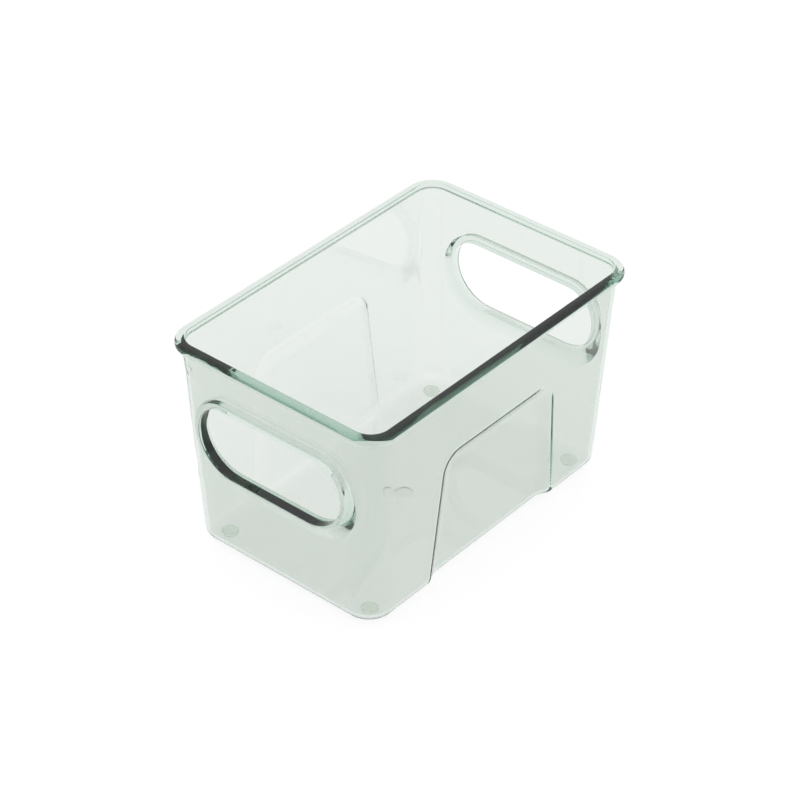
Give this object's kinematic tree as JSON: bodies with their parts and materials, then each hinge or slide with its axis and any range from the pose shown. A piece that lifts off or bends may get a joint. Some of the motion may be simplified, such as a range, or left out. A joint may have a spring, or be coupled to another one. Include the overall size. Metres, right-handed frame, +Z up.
{
  "type": "fridge bin",
  "caption": "Clear tinted open storage bin for a refrigerator shelf, with a beaded rim, a handle slot at each end, pressed-in side panels and small stick-on bumper feet",
  "frame": {"origin": "on the shelf, under the middle of the bin, at the level of the soles of the feet", "axes": "+Z up, X across the width, Y along the length; the two handle walls face -Y and +Y"},
  "size_m": [0.138, 0.205, 0.125],
  "materials": {
    "clear_tinted_plastic": "clear moulded styrene with a pale grey-green tint, polished on both faces",
    "clear_bumper": "clear soft polyurethane, glossy dome",
    "clear_adhesive": "clear acrylic adhesive film, slightly hazy"
  },
  "bodies": {
    "root": {"tub": "clear_tinted_plastic", "foot_front_left": "clear_bumper", "foot_front_right": "clear_bumper", "foot_back_left": "clear_bumper", "foot_back_right": "clear_bumper", "adhesive_front_left": "clear_adhesive", "adhesive_front_right": "clear_adhesive", "adhesive_back_left": "clear_adhesive", "adhesive_back_right": "clear_adhesive"}
  },
  "joints": []
}
